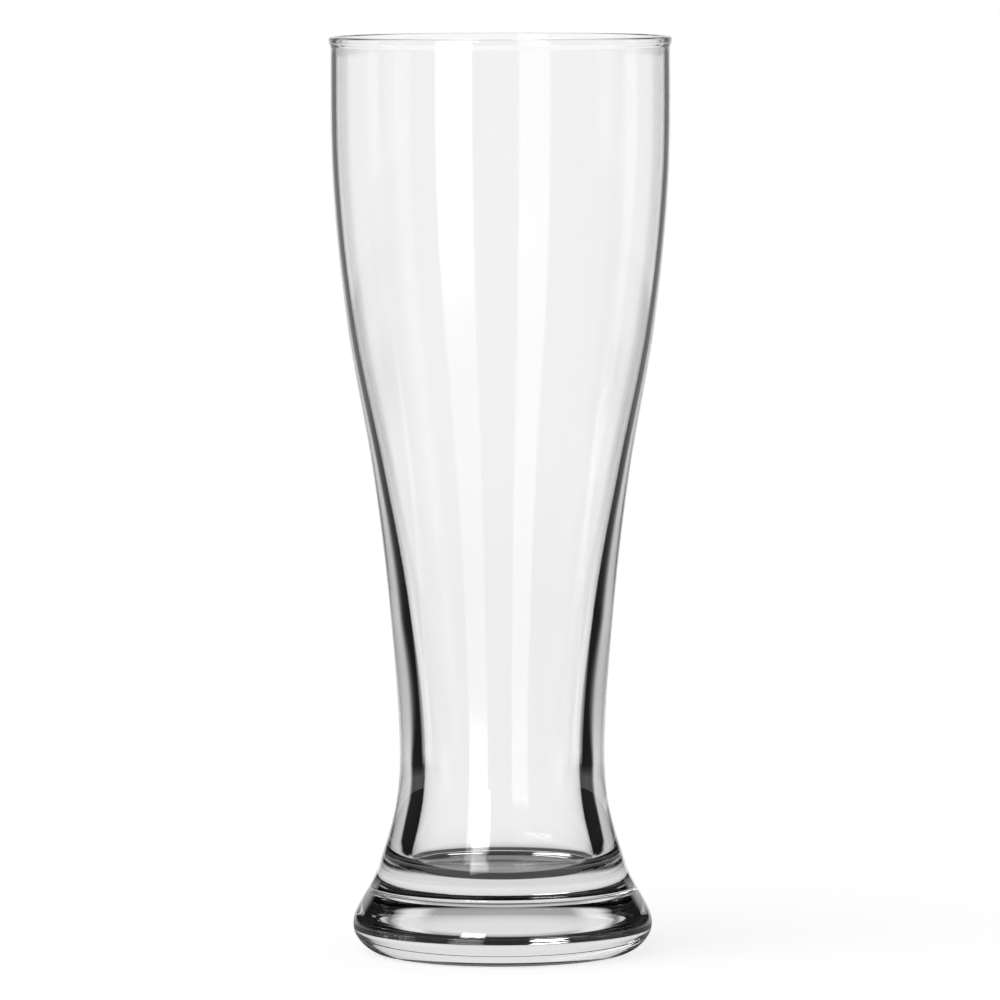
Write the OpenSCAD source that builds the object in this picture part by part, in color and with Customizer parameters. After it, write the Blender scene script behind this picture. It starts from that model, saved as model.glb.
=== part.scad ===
// Tall flared beer glass on a heavy solid foot, in millimetres.
// It stands on z = 0, its axis is the Z axis, and every surface is turned about that axis.

/* [Bowl] */
// Height of the whole glass, from the table to the top of the rim
glass_h = 222; // [200:1:245]
// Outer diameter of the mouth, just under the rim bead
mouth_d = 82; // [76:0.5:90]
// Outer diameter at the waist, the narrowest place
waist_d = 49.7; // [46:0.1:54]
// Height of the waist above the table
waist_z = 47; // [43:0.5:54]

/* [Rim] */
// How far the rim bead stands out from the wall
bead_out = 0.4; // [0.1:0.05:0.8]
// Height of the rim bead
bead_h = 2.6; // [2:0.1:4]
// Height of the rounded top of the rim
lip_h = 0.5; // [0.3:0.05:1]

/* [Wall] */
// Thickness of the wall at the mouth
mouth_wall = 1.25; // [1:0.05:1.8]
// Thickness of the wall at the waist
waist_wall = 6; // [5:0.1:7]
// Thickness of the wall where it turns into the inner floor
corner_wall = 7; // [6:0.1:8.5]

/* [Bottom of the bowl] */
// Solid glass under the inner floor, down to the table
base_t = 18.5; // [16.5:0.5:22]
// Part of that glass which belongs to the bowl, above its join with the foot
bottom_t = 3; // [2:0.25:4]
// Diameter of the flat middle of the inner floor
floor_d = 34; // [26:0.5:38]
// Height of the rounded corner between the inner floor and the wall
corner_h = 5; // [3:0.25:7]

/* [Foot] */
// Diameter of the join between the bowl and the foot
join_d = 65; // [61:0.25:68]
// Diameter of the foot at its edge, the widest place
foot_d = 72.5; // [69:0.25:78]
// Height of the foot's edge above the table
edge_z = 6.4; // [5:0.1:8]
// Outer diameter of the flat ring that the glass stands on
rest_d = 60; // [56:0.5:64]
// Width of that flat ring
rest_w = 3; // [2:0.25:5]
// Depth of the hollow under the foot
hollow_h = 1.8; // [0.5:0.1:3]

/* [Hidden] */
// A circle drawn with this many sides is kept as a true circle
$fn = 128;

mouth_r = mouth_d / 2;
waist_r = waist_d / 2;
join_r = join_d / 2;
foot_r = foot_d / 2;
rest_r = rest_d / 2;
join_z = base_t - bottom_t;
corner_z = base_t + corner_h;
bead_z = glass_h - bead_h;
lip_z = glass_h - lip_h;

// Outline of the wall from the waist to the mouth, at even heights.
// 0 is the waist's radius and 1 the mouth's.
rise_shares = [0, 0.133, 0.388, 0.759, 0.974, 1];
// Outline from the join up to the waist, at even heights. 1 is the join's radius, 0 the waist's.
flare_shares = [1, 0.463, 0.112, 0];
// Slope of the outline at the join, as a share of the straight slope from the join to the waist
join_slope_share = 2.55;
// Thickness of the wall from the waist to the mouth. 1 is the waist's wall and 0 the mouth's.
thin_shares = [1, 0.71, 0.27, 0.08, 0.01, 0];
// Thickness of the wall from its lower corner up to the waist. 1 is the corner's and 0 the waist's.
thick_shares = [1, 0.3, 0];

// Handles of the curves round the foot's edge, as shares of the height or width that they cross
edge_up_share = 0.14;
join_down_share = 0.78;
edge_down_share = 0.5;
rest_out_share = 0.32;
// Handles of the inner corner, as shares of its height and width
corner_down_share = 0.5;
floor_out_share = 0.6;
// Handle of the hollow under the foot, as a share of its radius
hollow_share = 0.45;

// Points along each stretch of the outline
rise_steps = 36;
flare_steps = 10;
curve_steps = 12;

// Slope of a smooth line through even stations v at station i, per station, with end slopes a and b
function tangent(v, i, a, b) =
    i == 0 ? a : i == len(v) - 1 ? b : (v[i + 1] - v[i - 1]) / 2;

// Height of that smooth line at share t of its length
function smooth(v, t, a, b) =
    let (n = len(v) - 1, i = min(floor(t * n), n - 1), s = t * n - i)
    v[i] * (1 + 2 * s) * pow(1 - s, 2)
    + tangent(v, i, a, b) * s * pow(1 - s, 2)
    + v[i + 1] * s * s * (3 - 2 * s)
    + tangent(v, i + 1, a, b) * s * s * (s - 1);

// Cubic curve from p to q, with the handles at a and b
function curve(p, a, b, q, n) =
    [for (i = [0 : n]) let (t = i / n, u = 1 - t)
        u * u * u * p + 3 * u * u * t * a + 3 * u * t * t * b + t * t * t * q];

// Radius of the outside at height z, without the rim bead
function wall_r(z) =
    z < waist_z
        ? waist_r + (join_r - waist_r)
            * smooth(flare_shares, (z - join_z) / (waist_z - join_z),
                -join_slope_share / (len(flare_shares) - 1), 0)
        : waist_r + (mouth_r - waist_r)
            * smooth(rise_shares, (z - waist_z) / (glass_h - waist_z), 0, 0);

// How far the rim bead stands out at height z
function bead_r(z) =
    z < bead_z ? 0 : bead_out * (1 - cos(180 * min(1, (z - bead_z) / (bead_h / 2)))) / 2;

// Thickness of the wall at height z
function wall_t(z) =
    z < waist_z
        ? waist_wall + (corner_wall - waist_wall)
            * smooth(thick_shares, (z - corner_z) / (waist_z - corner_z), -1, 0)
        : mouth_wall + (waist_wall - mouth_wall)
            * smooth(thin_shares, (z - waist_z) / (glass_h - waist_z), 0, 0);

function inner_r(z) = wall_r(z) - wall_t(z);

// Heights from a to b in n even steps, without b itself
function heights(a, b, n) = [for (i = [0 : n - 1]) a + (b - a) * i / n];

// Lean of the inner wall at its lower end, in radius per height
lean_step = corner_h / curve_steps;
corner_lean = (inner_r(corner_z + lean_step) - inner_r(corner_z)) / lean_step;

function rising_outside() =
    [for (z = concat(heights(join_z, waist_z, flare_steps), heights(waist_z, bead_z, rise_steps),
            heights(bead_z, lip_z, curve_steps))) [wall_r(z) + bead_r(z), z]];

// Half an ellipse over the rim, from the bead to the inside of the wall
function over_the_rim() =
    let (out = wall_r(lip_z) + bead_out, w = (out - inner_r(lip_z)) / 2)
    [for (i = [0 : curve_steps]) let (a = 180 * i / curve_steps)
        [out - w + w * cos(a), lip_z + (glass_h - lip_z) * sin(a)]];

function falling_inside() =
    let (low = heights(corner_z, waist_z, flare_steps), high = heights(waist_z, lip_z, rise_steps),
        z = concat(low, high), n = len(z))
    [for (i = [n - 1 : -1 : 1]) [inner_r(z[i]), z[i]]];

function inner_corner() =
    let (p = [inner_r(corner_z), corner_z], q = [floor_d / 2, base_t],
        down = corner_h * corner_down_share)
    curve(p, p - [corner_lean * down, down], q + [(p.x - q.x) * floor_out_share, 0], q, curve_steps);

function foot_outline() =
    let (join = [join_r, join_z], edge = [foot_r, edge_z], rest = [rest_r, 0],
        down = (join_z - edge_z) * join_down_share,
        slope = join_slope_share * (join_r - waist_r) / (waist_z - join_z))
    concat(
        curve(rest, rest + [(foot_r - rest_r) * rest_out_share, 0],
            edge - [0, edge_z * edge_down_share], edge, curve_steps),
        curve(edge, edge + [0, (join_z - edge_z) * edge_up_share],
            join + [slope * down, -down], join, curve_steps));

function foot_hollow() =
    let (r = rest_r - rest_w, p = [0, hollow_h], q = [r, 0])
    curve(p, p + [r * hollow_share, 0], q - [r * hollow_share / 2, -hollow_h / 2], q, curve_steps);

// The drinking vessel: wall, rim and its own flat-topped bottom
module bowl() {
    color([0.86, 0.9, 0.9, 0.45])
    rotate_extrude()
    polygon(concat([[0, join_z]], rising_outside(), over_the_rim(), falling_inside(),
        inner_corner(), [[0, base_t]]));
}

// The heavy solid foot below the bowl, with a shallow hollow inside its resting ring
module foot() {
    color([0.78, 0.84, 0.85, 0.6])
    rotate_extrude()
    polygon(concat(foot_hollow(), foot_outline(), [[0, join_z]]));
}

bowl();
foot();
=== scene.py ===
# A tall flared beer glass on a heavy solid foot, in a white photo studio.
from math import cos, pi, radians, sin

import bmesh
import bpy
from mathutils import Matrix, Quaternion, Vector

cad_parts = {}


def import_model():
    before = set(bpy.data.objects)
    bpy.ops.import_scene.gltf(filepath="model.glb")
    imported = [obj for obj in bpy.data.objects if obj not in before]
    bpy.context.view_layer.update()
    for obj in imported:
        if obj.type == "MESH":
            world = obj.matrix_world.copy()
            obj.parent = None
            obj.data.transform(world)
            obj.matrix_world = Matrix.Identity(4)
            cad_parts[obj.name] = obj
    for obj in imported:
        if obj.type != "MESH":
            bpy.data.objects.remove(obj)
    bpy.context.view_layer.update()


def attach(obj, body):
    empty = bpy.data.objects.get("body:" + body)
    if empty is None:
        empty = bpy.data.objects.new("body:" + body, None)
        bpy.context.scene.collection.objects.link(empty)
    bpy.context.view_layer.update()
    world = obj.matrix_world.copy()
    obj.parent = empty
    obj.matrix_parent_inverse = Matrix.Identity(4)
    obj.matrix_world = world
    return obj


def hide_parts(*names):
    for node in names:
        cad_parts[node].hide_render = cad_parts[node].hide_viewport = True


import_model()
MM = 0.001
# Points nearer than this are one, in metres
SAME = 1e-7

# Driving sizes, in millimetres, as in the construction: heights (_H, _Z, _T), diameters (_D), walls
GLASS_H, MOUTH_D, WAIST_D, WAIST_Z = 222, 82, 49.7, 47
BEAD_OUT, BEAD_H, LIP_H = 0.4, 2.6, 0.5
MOUTH_WALL, WAIST_WALL, CORNER_WALL = 1.25, 6, 7
BASE_T, BOTTOM_T, FLOOR_D, CORNER_H = 18.5, 3, 34, 5
JOIN_D, FOOT_D, EDGE_Z = 65, 72.5, 6.4
REST_D, REST_W, HOLLOW_H = 60, 3, 1.8

# The outside and the wall between those sizes, at even heights, and the handles of the curves
RISE_SHARES = (0, 0.133, 0.388, 0.759, 0.974, 1)
FLARE_SHARES = (1, 0.463, 0.112, 0)
JOIN_SLOPE_SHARE = 2.55
THIN_SHARES = (1, 0.71, 0.27, 0.08, 0.01, 0)
THICK_SHARES = (1, 0.3, 0)
EDGE_UP_SHARE, JOIN_DOWN_SHARE, EDGE_DOWN_SHARE, REST_OUT_SHARE = 0.14, 0.78, 0.5, 0.32
CORNER_DOWN_SHARE, FLOOR_OUT_SHARE, HOLLOW_SHARE = 0.5, 0.6, 0.45

MOUTH_R, WAIST_R, JOIN_R, FOOT_R, REST_R = (d / 2 for d in (MOUTH_D, WAIST_D, JOIN_D, FOOT_D, REST_D))
JOIN_Z = BASE_T - BOTTOM_T
CORNER_Z = BASE_T + CORNER_H
BEAD_Z = GLASS_H - BEAD_H
LIP_Z = GLASS_H - LIP_H

# Points round the axis, and along each stretch of the outline
TURN_STEPS = 256
RISE_STEPS = 90
FLARE_STEPS = 40
CURVE_STEPS = 24

# Camera: distance and height in metres, the height it looks at, how far it stands off the axis, its
# roll in degrees, lens and sensor in millimetres, and the nearest and farthest that it sees in metres
CAM_BACK, CAM_UP, CAM_LOOK, CAM_SIDE = 1.974, 0.2633, 0.1098, -0.00036
CAM_ROLL = -0.16
LENS, SENSOR = 294.3, 36
CLIP = (0.1, 50)


def tangent(v, i, a, b):
    """Slope of a smooth line through even stations v at station i."""
    return a if i == 0 else b if i == len(v) - 1 else (v[i + 1] - v[i - 1]) / 2


def smooth(v, t, a, b):
    """Height of that line at share t of its length, with end slopes a and b per station."""
    n = len(v) - 1
    i = min(int(t * n), n - 1)
    s = t * n - i
    return (
        v[i] * (1 + 2 * s) * (1 - s) ** 2
        + tangent(v, i, a, b) * s * (1 - s) ** 2
        + v[i + 1] * s * s * (3 - 2 * s)
        + tangent(v, i + 1, a, b) * s * s * (s - 1)
    )


def curve(p, a, b, q, n):
    """Points of a cubic curve from p to q, with its handles at a and b."""
    points = []
    for i in range(n + 1):
        t = i / n
        u = 1 - t
        weights = (u * u * u, 3 * u * u * t, 3 * u * t * t, t * t * t)
        points.append(tuple(sum(w * c[k] for w, c in zip(weights, (p, a, b, q))) for k in (0, 1)))
    return points


def wall_r(z):
    """Radius of the outside at height z, without the rim bead."""
    if z < WAIST_Z:
        t = (z - JOIN_Z) / (WAIST_Z - JOIN_Z)
        slope = -JOIN_SLOPE_SHARE / (len(FLARE_SHARES) - 1)
        return WAIST_R + (JOIN_R - WAIST_R) * smooth(FLARE_SHARES, t, slope, 0)
    t = (z - WAIST_Z) / (GLASS_H - WAIST_Z)
    return WAIST_R + (MOUTH_R - WAIST_R) * smooth(RISE_SHARES, t, 0, 0)


def bead_r(z):
    """How far the rim bead stands out at height z."""
    if z < BEAD_Z:
        return 0
    return BEAD_OUT * (1 - cos(pi * min(1, (z - BEAD_Z) / (BEAD_H / 2)))) / 2


def wall_t(z):
    """Thickness of the wall at height z."""
    if z < WAIST_Z:
        t = (z - CORNER_Z) / (WAIST_Z - CORNER_Z)
        return WAIST_WALL + (CORNER_WALL - WAIST_WALL) * smooth(THICK_SHARES, t, -1, 0)
    t = (z - WAIST_Z) / (GLASS_H - WAIST_Z)
    return MOUTH_WALL + (WAIST_WALL - MOUTH_WALL) * smooth(THIN_SHARES, t, 0, 0)


def inner_r(z):
    return wall_r(z) - wall_t(z)


def heights(a, b, n):
    """Heights from a to b in n even steps, without b itself."""
    return [a + (b - a) * i / n for i in range(n)]


def bowl_outline():
    """From the join up the outside, over the rim and down the inside to the axis."""
    levels = heights(JOIN_Z, WAIST_Z, FLARE_STEPS) + heights(WAIST_Z, BEAD_Z, RISE_STEPS)
    levels += heights(BEAD_Z, LIP_Z, CURVE_STEPS)
    outside = [(wall_r(z) + bead_r(z), z) for z in levels]
    out = wall_r(LIP_Z) + BEAD_OUT
    half = (out - inner_r(LIP_Z)) / 2
    turns = [pi * i / CURVE_STEPS for i in range(CURVE_STEPS + 1)]
    rim = [(out - half + half * cos(a), LIP_Z + (GLASS_H - LIP_Z) * sin(a)) for a in turns]
    levels = heights(CORNER_Z, WAIST_Z, FLARE_STEPS) + heights(WAIST_Z, LIP_Z, RISE_STEPS)
    inside = [(inner_r(z), z) for z in reversed(levels[1:])]
    step = CORNER_H / CURVE_STEPS
    lean = (inner_r(CORNER_Z + step) - inner_r(CORNER_Z)) / step
    p, q = (inner_r(CORNER_Z), CORNER_Z), (FLOOR_D / 2, BASE_T)
    down = CORNER_H * CORNER_DOWN_SHARE
    a = (p[0] - lean * down, p[1] - down)
    b = (q[0] + (p[0] - q[0]) * FLOOR_OUT_SHARE, q[1])
    return outside + rim + inside + curve(p, a, b, q, CURVE_STEPS)


def foot_outline():
    """From the axis along the hollow and the resting ring, and up the outside to the join."""
    r = REST_R - REST_W
    hollow = curve((0, HOLLOW_H), (r * HOLLOW_SHARE, HOLLOW_H),
                   (r - r * HOLLOW_SHARE / 2, HOLLOW_H / 2), (r, 0), CURVE_STEPS)
    rest, edge, join = (REST_R, 0), (FOOT_R, EDGE_Z), (JOIN_R, JOIN_Z)
    down = (JOIN_Z - EDGE_Z) * JOIN_DOWN_SHARE
    slope = JOIN_SLOPE_SHARE * (JOIN_R - WAIST_R) / (WAIST_Z - JOIN_Z)
    under = curve(rest, (REST_R + (FOOT_R - REST_R) * REST_OUT_SHARE, 0),
                  (FOOT_R, EDGE_Z * (1 - EDGE_DOWN_SHARE)), edge, CURVE_STEPS)
    over = curve(edge, (FOOT_R, EDGE_Z + (JOIN_Z - EDGE_Z) * EDGE_UP_SHARE),
                 (JOIN_R + slope * down, JOIN_Z - down), join, CURVE_STEPS)
    return hollow[1:] + under + over[1:]


def turned(name, outline, ends, materials):
    """A solid of revolution round the Z axis. ends are the heights where it closes on the axis."""
    bm = bmesh.new()
    rings = []
    for r, z in outline:
        ring = []
        for k in range(TURN_STEPS):
            a = 2 * pi * k / TURN_STEPS
            ring.append(bm.verts.new((r * cos(a) * MM, r * sin(a) * MM, z * MM)))
        rings.append(ring)
    for low, high in zip(rings, rings[1:]):
        for k in range(TURN_STEPS):
            n = (k + 1) % TURN_STEPS
            bm.faces.new((low[k], low[n], high[n], high[k]))
    first, last = (bm.verts.new((0, 0, z * MM)) for z in ends)
    for k in range(TURN_STEPS):
        n = (k + 1) % TURN_STEPS
        bm.faces.new((first, rings[0][n], rings[0][k]))
        bm.faces.new((last, rings[-1][k], rings[-1][n]))
    bmesh.ops.remove_doubles(bm, verts=bm.verts, dist=SAME)
    bmesh.ops.recalc_face_normals(bm, faces=bm.faces)
    mesh = bpy.data.meshes.new(name)
    bm.to_mesh(mesh)
    bm.free()
    for m in materials:
        mesh.materials.append(m)
    for face in mesh.polygons:
        flat = all(abs(mesh.vertices[v].co.z - JOIN_Z * MM) < SAME for v in face.vertices)
        face.use_smooth = not flat
        face.material_index = 1 if flat else 0
    piece = bpy.data.objects.new(name, mesh)
    bpy.context.scene.collection.objects.link(piece)
    return piece


class Net:
    """The nodes of a material or world, with short ways to add to them."""

    def __init__(self, owner):
        owner.use_nodes = True
        self.nodes, self.links = owner.node_tree.nodes, owner.node_tree.links
        self.nodes.clear()

    def new(self, kind, **settings):
        node = self.nodes.new("ShaderNode" + kind)
        for name, value in settings.items():
            setattr(node, name, value)
        return node

    def feed(self, socket, value):
        """Gives a socket a number or another node's output."""
        if isinstance(value, (int, float)):
            socket.default_value = value
        else:
            self.links.new(value, socket)

    def math(self, kind, *values):
        node = self.new("Math", operation=kind)
        for socket, value in zip(node.inputs, values):
            self.feed(socket, value)
        return node.outputs[0]

    def times(self, first, *others):
        for other in others:
            first = self.math("MULTIPLY", first, other)
        return first

    def most(self, first, *others):
        for other in others:
            first = self.math("MAXIMUM", first, other)
        return first

    def mix(self, share, a, b):
        node = self.new("Mix", data_type="FLOAT")
        for socket, value in zip((node.inputs[0], node.inputs[2], node.inputs[3]), (share, a, b)):
            self.feed(socket, value)
        return node.outputs[0]

    def mix_shaders(self, share, a, b):
        node = self.new("MixShader")
        for socket, value in zip(node.inputs, (share, a.outputs[0], b.outputs[0])):
            self.feed(socket, value)
        return node

    def emission(self, strength):
        node = self.new("Emission")
        self.feed(node.inputs["Strength"], strength)
        return node

    def split(self, vector):
        node = self.new("SeparateXYZ")
        self.feed(node.inputs[0], vector)
        return node.outputs

    def turn(self, x, y):
        """Degrees round the axis from straight behind the glass, right positive."""
        return self.times(self.math("ARCTAN2", x, y), 180 / pi)

    def ramp(self, value, points):
        """Brightness read off straight lines between (value, brightness) points."""
        lo, hi = points[0][0], points[-1][0]
        top = max(bright for _, bright in points)
        node = self.new("ValToRGB")
        stops = node.color_ramp.elements
        stops.remove(stops[-1])
        for i, (at, bright) in enumerate(points):
            share = (at - lo) / (hi - lo)
            stop = stops[0] if i == 0 else stops.new(share)
            stop.position = share
            stop.color = (bright / top, bright / top, bright / top, 1)
        self.feed(node.inputs[0], self.math("DIVIDE", self.math("SUBTRACT", value, lo), hi - lo))
        return self.times(node.outputs[0], top)

    def show(self, shader):
        """Ends the nodes with this shader."""
        kind = "OutputWorld" if shader.bl_idname == "ShaderNodeBackground" else "OutputMaterial"
        self.feed(self.new(kind).inputs["Surface"], shader.outputs[0])


def new_material(name):
    material = bpy.data.materials.new(name)
    return material, Net(material)


def placed(name, verts, faces, material):
    """A plain mesh object in the scene."""
    mesh = bpy.data.meshes.new(name)
    mesh.from_pydata(verts, [], faces)
    mesh.materials.append(material)
    o = bpy.data.objects.new(name, mesh)
    bpy.context.scene.collection.objects.link(o)
    return o


# The index that bends light, and how the thick bottom looks greyer than the wall, by height in metres
IOR = 1.52
TINT = ((0.0, 0.8), (0.012, 0.8), (0.028, 0.985), (0.085, 0.98), (0.12, 1.0))
# Slow ripples that pressing leaves in the surface: how many a metre across and along the axis, and
# their height in metres
RIPPLES = (22, 22, 9)
RIPPLE_H = 0.00003
# Roughness of the polished skin, between its clearest and dullest patches, and of the worn resting
# ring by height in metres
SKIN = ((0.62, 0), (0.8, 0.02))
WORN = ((0, 0.12), (0.0004, 0))


def glass():
    material, net = new_material("clear_glass")
    body = net.new("BsdfPrincipled")
    body.inputs["Transmission Weight"].default_value = 1
    body.inputs["IOR"].default_value = IOR
    place = net.new("TexCoord").outputs["Object"]
    height = net.split(place)["Z"]
    net.feed(body.inputs["Base Color"], net.ramp(height, TINT))
    stretch = net.new("VectorMath", operation="MULTIPLY")
    stretch.inputs[1].default_value = RIPPLES
    net.feed(stretch.inputs[0], place)
    noise = net.new("TexNoise")
    noise.inputs["Scale"].default_value = 1
    noise.inputs["Detail"].default_value = 1
    net.feed(noise.inputs["Vector"], stretch.outputs[0])
    bump = net.new("Bump")
    bump.inputs["Strength"].default_value = 1
    bump.inputs["Distance"].default_value = RIPPLE_H
    net.feed(bump.inputs["Height"], noise.outputs[0])
    net.feed(body.inputs["Normal"], bump.outputs[0])
    net.feed(body.inputs["Roughness"], net.most(net.ramp(noise.outputs[0], SKIN), net.ramp(height, WORN)))
    net.show(body)
    return material


def fused():
    """The join inside the glass, where bowl and foot are one and nothing shows."""
    material, net = new_material("fused_join")
    net.show(net.new("BsdfTransparent"))
    return material


# The studio, as light that the glass has turned aside sees it. Angles are in degrees, round the
# glass from straight behind it, right positive, or above the horizon; distances are in metres. DARK is
# the brightness of all that nothing below lights.
DARK = 0.01
# Tall strip lights, which the inside of the wall mirrors: from and to, brightness, and how much of each
# shows by height. The high one is mirrored by the outside, on the flare and on the edge of the foot.
# SOFT is half the width of their soft edges.
LEFT_STRIP, STRIP_L = (-160.5, -134.5), 5
LEFT_RISE = ((-90, 0.4), (-26, 0.4), (-20, 0.5), (-14, 1), (32, 1), (38, 0))
RIGHT_STRIP, STRIP_R = (145.2, 167.5), 3.2
RIGHT_RISE = ((-90, 0.8), (-24, 0.8), (-14, 1), (2, 0.9), (6, 0.1), (60, 0))
HIGH_STRIP, STRIP_H = (-166, -147.5), 20
HIGH_RISE = ((-90, 0), (2, 0), (3, 1), (24, 1), (28, 0))
SOFT = 1.3
# Half width of the white backdrop by height, its soft edge, and how it ends at the top
BACK_WIDTH = ((0, 14), (8, 34))
BACK_SOFT = 4
BACK_TOP = ((-90, 1), (8, 1), (18, 0.5), (29, 0.4), (36, DARK))
# Between these turns the backdrop grows as high as the white room that all other light sees
BACK_SHOULDER = ((19, 0), (24, 1))
ROOM_TOP = ((-90, 1), (24, 1), (36, DARK))
# What the outside mirrors beside the glass: by turn, by distance over the table, and by height
SIDES = (
    (0, 1), (8, 1), (16, 0.5), (50, 0.5), (66, 0.7),
    (70, 0.9), (90, 0.9), (94, 0.4), (115, 0.1), (130, 0),
)
SIDES_FROM = ((0.45, 0), (0.75, 1))
SIDES_TOP = ((-90, 1), (-4, 1), (-1, 0.05), (12, 0))
# The dim room in front, by turn, as both faces of the wall mirror it
FILL = ((0, 0), (80, 0), (100, 0.5), (180, 0.5))
# Share of light that is left after three bounces in the glass and more
DEEP = 0.1
# Bounces are counted in whole numbers, so half a bounce tells one count from the next
HALF = 0.5


class Light:
    """How the light that asks for a colour has come here: 1 where it is so, unless it says otherwise."""

    def __init__(self, net):
        path = net.new("LightPath").outputs
        self.net, self.camera = net, path["Is Camera Ray"]
        self.mirrored, self.passed = path["Glossy Depth"], path["Transmission Depth"]

    def turned(self, times):
        """Turned aside by the glass so many times or more."""
        return self.net.math("GREATER_THAN", self.mirrored, times - HALF)

    def outer(self):
        """Mirrored by the outside before it went in."""
        return self.net.math("LESS_THAN", self.passed, HALF)

    def front(self):
        """In through the outside, mirrored by the inside of the wall and out again."""
        return self.net.math("COMPARE", self.passed, 2, HALF)

    def once(self):
        """Turned once, within the wall."""
        once = self.net.math("COMPARE", self.mirrored, 1, HALF)
        return self.net.most(self.net.math("SUBTRACT", once, self.outer()), 0)

    def left(self):
        """The share of the light that its bounces leave."""
        return self.net.mix(self.turned(3), 1, DEEP)


def strip(net, turn, rise, span, bright, by_height):
    """A strip light over a span of turns."""
    lo, hi = span
    across = ((-180, 0), (lo - SOFT, 0), (lo + SOFT, bright), (hi - SOFT, bright), (hi + SOFT, 0), (180, 0))
    return net.times(net.ramp(turn, across), net.ramp(rise, by_height))


def world():
    studio = bpy.data.worlds.new("studio")
    bpy.context.scene.world = studio
    net = Net(studio)
    light = Light(net)
    outer, front = light.outer(), light.front()
    x, y, z = net.split(net.new("TexCoord").outputs["Generated"])
    turn = net.turn(x, y)
    rise = net.times(net.math("ARCSINE", z), 180 / pi)
    aside = net.math("ABSOLUTE", turn)
    strips = net.math(
        "ADD",
        strip(net, turn, rise, LEFT_STRIP, STRIP_L, LEFT_RISE),
        strip(net, turn, rise, RIGHT_STRIP, STRIP_R, RIGHT_RISE),
    )
    strips = net.times(strips, net.most(light.turned(2), front))
    high = net.times(outer, strip(net, turn, rise, HIGH_STRIP, STRIP_H, HIGH_RISE))
    strips = net.math("ADD", strips, high)
    beyond = net.math("SUBTRACT", aside, net.ramp(rise, BACK_WIDTH))
    backdrop = net.ramp(beyond, ((-BACK_SOFT, 1), (BACK_SOFT, 0)))
    sides = net.times(outer, net.ramp(aside, SIDES), net.ramp(rise, SIDES_TOP))
    fill = net.times(net.most(outer, front), net.ramp(aside, FILL))
    room = net.ramp(rise, ROOM_TOP)
    top = net.mix(net.ramp(aside, BACK_SHOULDER), net.ramp(rise, BACK_TOP), room)
    seen = net.times(net.most(backdrop, sides, fill), top)
    seen = net.times(net.most(seen, strips, DARK), light.left())
    back = net.new("Background")
    back.inputs["Color"].default_value = (1, 1, 1, 1)
    straight = net.most(room, light.camera)
    net.feed(back.inputs["Strength"], net.mix(light.turned(1), straight, seen))
    net.show(back)


# The white paper under the glass: half its size, how far its face lies under the glass so that the two
# don't meet, its colour and its own share of its white
FLOOR_HALF, FLOOR_DROP = 12, 0.00002
PAPER, GLOW = 0.8, 0.7
# Painted shadow of the foot on the table, by distance from the axis, as light through the glass sees it:
# dark under the foot and in a ring round its edge, lighter further out; seen straight, and by turned light
TABLE_PAINTED_SHADOW = ((0, 0.38), (0.034, 0.38), (0.038, 0.2), (0.043, 0.2), (0.05, 0.8), (0.06, 0.85), (0.09, 1))
TURNED_TABLE_PAINTED_SHADOW = (
    (0, 0.07), (0.034, 0.07), (0.045, 0.3), (0.052, 0.22), (0.063, 0.24),
    (0.08, 0.6), (0.13, 0.72), (0.3, 0.72), (0.42, 0.9), (0.5, 1),
)
# The strip of table that the lights reach: half width at the glass, what it gains per metre, its soft
# edge, and the lit ring round the foot
LIT_HALF = 0.112
LIT_GAIN = 0.235
LIT_EDGE = ((-0.05, 1), (-0.02, 0.85), (0, 0.45), (0.012, 0.22), (0.03, 0.05), (0.05, 0))
LIT_NEAR = ((0.06, 1), (0.09, 0))
# The part beside that strip which light sees when it has turned once within the wall, by turn and distance
ONCE_TURN = ((56, 0), (66, 1), (75, 1), (110, 0.4))
ONCE_FAR = ((0, 1), (0.35, 1), (0.45, 0))


def floor():
    material, net = new_material("white_floor")
    light = Light(net)
    outer, bent = light.outer(), light.turned(1)
    place = net.new("NewGeometry").outputs["Position"]
    x, y, _ = net.split(place)
    length = net.new("VectorMath", operation="LENGTH")
    net.feed(length.inputs[0], place)
    far = length.outputs["Value"]
    turn = net.math("ABSOLUTE", net.turn(x, y))
    beyond = net.math("SUBTRACT", net.math("ABSOLUTE", x), net.times(y, LIT_GAIN))
    beyond = net.math("SUBTRACT", beyond, LIT_HALF)
    sides = net.times(outer, net.ramp(turn, SIDES), net.ramp(far, SIDES_FROM))
    once = net.times(light.once(), net.ramp(turn, ONCE_TURN), net.ramp(far, ONCE_FAR))
    # Light through the glass sees the table as a glow. Turned light sees painted light on it: the painted
    # pool of the lit strip, the painted reflection of the sides, the part lit for once-turned light and the
    # lit ring round the foot. All of it is darkened by the painted shadow under and round the foot.
    lit = net.most(net.ramp(beyond, LIT_EDGE), sides, once, net.ramp(far, LIT_NEAR), DARK)
    turned = net.times(lit, net.ramp(far, TURNED_TABLE_PAINTED_SHADOW), light.left())
    through = net.emission(net.mix(bent, net.ramp(far, TABLE_PAINTED_SHADOW), turned))
    # In front of the foot, turned light sees the room and not the table
    beyond_foot = net.math("GREATER_THAN", far, LIT_NEAR[-1][0])
    front = net.times(net.math("LESS_THAN", y, 0), beyond_foot, bent)
    shown = net.mix_shaders(front, through, net.new("BsdfTransparent"))
    matt = net.new("BsdfDiffuse")
    matt.inputs["Color"].default_value = (PAPER, PAPER, PAPER, 1)
    paper = net.new("AddShader")
    net.feed(paper.inputs[0], matt.outputs[0])
    net.feed(paper.inputs[1], net.emission(GLOW).outputs[0])
    net.show(net.mix_shaders(light.camera, shown, paper))
    s, z = FLOOR_HALF, -FLOOR_DROP
    o = placed("floor", [(-s, -s, z), (s, -s, z), (s, s, z), (-s, s, z)], [(0, 1, 2, 3)], material)


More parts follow.
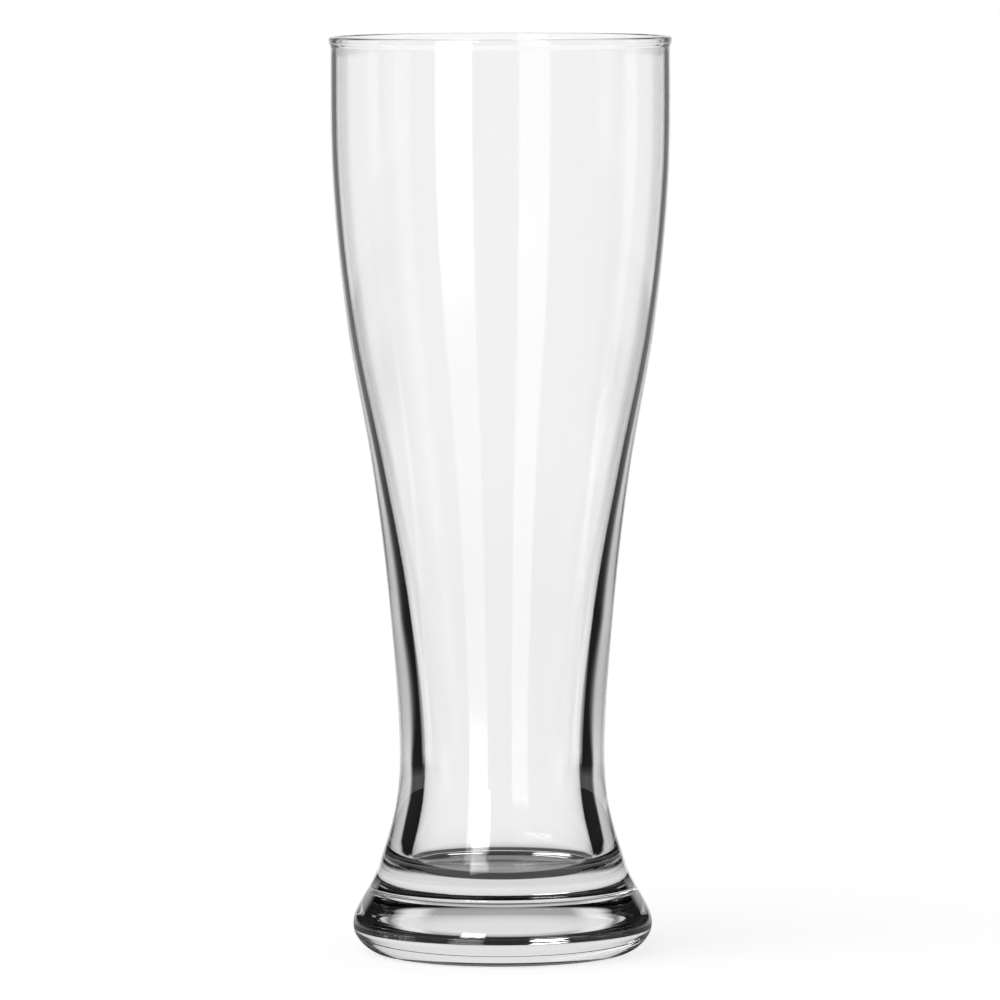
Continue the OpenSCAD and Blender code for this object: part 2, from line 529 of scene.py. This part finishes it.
# White cards on both sides, for light turned once within the wall: distance, bottom, top and brightness,
# and how much shows by height and by turn
CARD_FAR, CARD_LOW, CARD_HIGH, CARD_GLOW = 0.6, 0.06, 0.2065, 0.9
CARD_RISE = ((0.06, 0), (0.075, 1))
CARD_TURN = ((33, 0), (38, 0.9), (46, 0.9), (58, 0.45), (94, 0.25), (115, 0))
CARD_STEPS = 24


def cards():
    material, net = new_material("white_card")
    x, y, height = net.split(net.new("NewGeometry").outputs["Position"])
    turn = net.math("ABSOLUTE", net.turn(x, y))
    shown = net.times(Light(net).once(), net.ramp(turn, CARD_TURN), net.ramp(height, CARD_RISE))
    net.show(net.mix_shaders(shown, net.new("BsdfTransparent"), net.emission(CARD_GLOW)))
    first, last = radians(CARD_TURN[0][0]), radians(CARD_TURN[-1][0])
    verts, faces = [], []
    for side in (-1, 1):
        start = len(verts)
        for k in range(CARD_STEPS + 1):
            a = first + (last - first) * k / CARD_STEPS
            verts += [(side * CARD_FAR * sin(a), CARD_FAR * cos(a), z) for z in (CARD_LOW, CARD_HIGH)]
        faces += [(i, i + 2, i + 3, i + 1) for i in range(start, len(verts) - 2, 2)]
    o = placed("cards", verts, faces, material)


# The lamp over the glass: strength, spread in degrees, and the way it shines
SUN, SUN_SPREAD, SUN_WAY = 0.5, 50, (0.4, 0.35, -1)


def lamp():
    data = bpy.data.lights.new("soft_lamp", "SUN")
    data.energy = SUN
    data.angle = radians(SUN_SPREAD)
    o = bpy.data.objects.new("soft_lamp", data)
    o.rotation_mode = "QUATERNION"
    o.rotation_quaternion = Vector(SUN_WAY).to_track_quat("-Z", "Y")
    o.visible_camera = o.visible_glossy = o.visible_transmission = False
    bpy.context.scene.collection.objects.link(o)


def camera():
    data = bpy.data.cameras.new("camera")
    data.lens, data.sensor_width = LENS, SENSOR
    data.clip_start, data.clip_end = CLIP
    cam = bpy.data.objects.new("camera", data)
    cam.location = (CAM_SIDE, -CAM_BACK, CAM_UP)
    look = Vector((CAM_SIDE, 0, CAM_LOOK)) - cam.location
    cam.rotation_mode = "QUATERNION"
    roll = Quaternion((0, 0, 1), radians(CAM_ROLL))
    cam.rotation_quaternion = look.to_track_quat("-Z", "Y") @ roll
    bpy.context.scene.collection.objects.link(cam)
    bpy.context.scene.camera = cam


# How often light may pass and mirror on its way through the thick glass
BOUNCES, GLOSSY_BOUNCES = 32, 24

scene = bpy.context.scene
scene.view_settings.view_transform = "Standard"
scene.cycles.max_bounces = scene.cycles.transmission_bounces = BOUNCES
scene.cycles.transparent_max_bounces = BOUNCES
scene.cycles.glossy_bounces = GLOSSY_BOUNCES
scene.cycles.sample_clamp_indirect = 0

camera()
world()
floor()
cards()
lamp()
surfaces = [glass(), fused()]
bowl = turned("bowl_glass", bowl_outline(), (JOIN_Z, BASE_T), surfaces)
foot = turned("foot_glass", foot_outline(), (HOLLOW_H, JOIN_Z), surfaces)
for piece, node in ((bowl, "bowl"), (foot, "foot")):
    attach(piece, "root")
    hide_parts(node)
